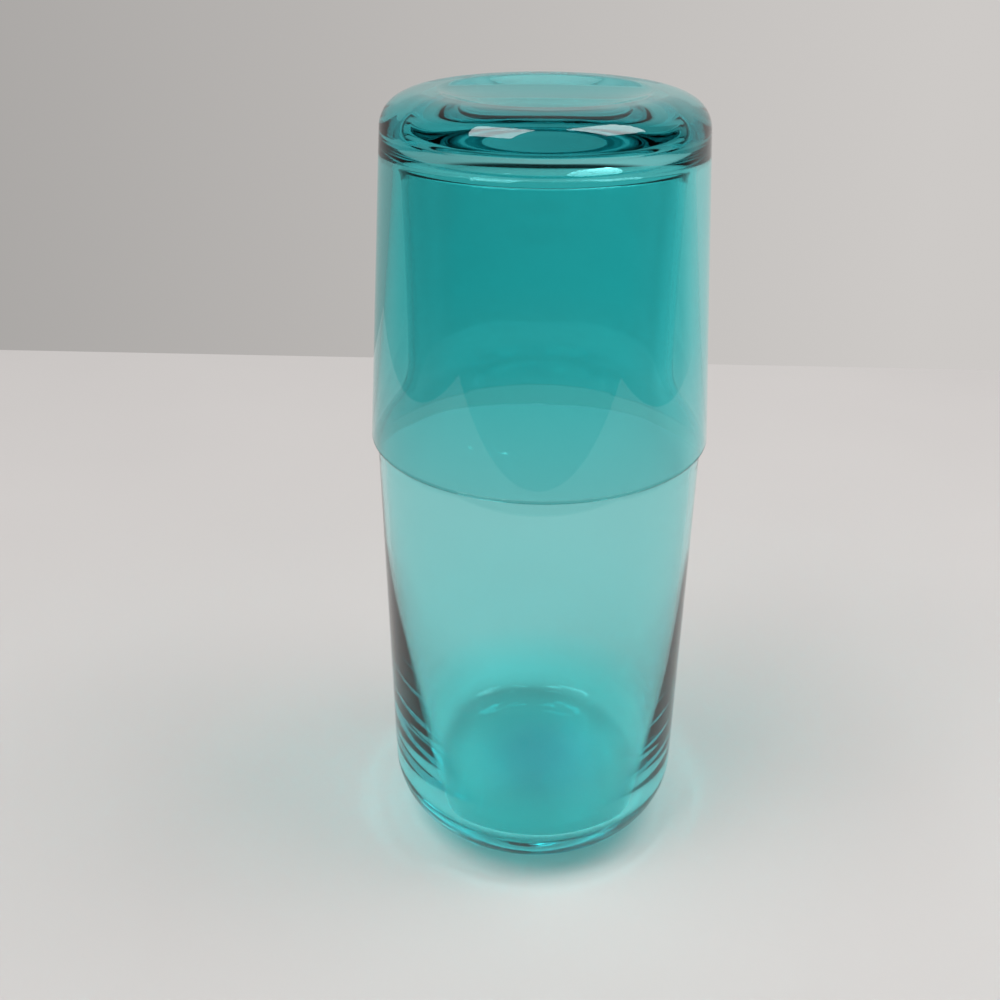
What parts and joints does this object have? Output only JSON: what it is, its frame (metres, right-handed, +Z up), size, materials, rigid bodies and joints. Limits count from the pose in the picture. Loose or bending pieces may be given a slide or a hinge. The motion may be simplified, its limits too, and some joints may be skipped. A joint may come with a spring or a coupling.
{
  "type": "bedside carafe with tumbler",
  "caption": "Tinted glass bedside carafe with a rounded heel, soft shoulder and straight neck, covered by its own heavy-based tumbler, which lifts off to drink from.",
  "frame": {"origin": "centre of the carafe's foot, on the surface that it stands on", "axes": "+Z up along the common axis of carafe and tumbler; X and Y are free, because both pieces are turned forms"},
  "size_m": [0.089, 0.089, 0.21],
  "materials": {
    "carafe_glass": "clear glass with an even teal tint, polished",
    "tumbler_glass": "clear glass with a deeper teal tint, polished"
  },
  "bodies": {
    "carafe": {"carafe": "carafe_glass"},
    "tumbler": {"tumbler": "tumbler_glass"}
  },
  "joints": [
    {"name": "tumbler_lift", "type": "slide", "parent": "carafe", "child": "tumbler", "axis": [0, 0, 1], "range_m": [0, 0.09]}
  ]
}
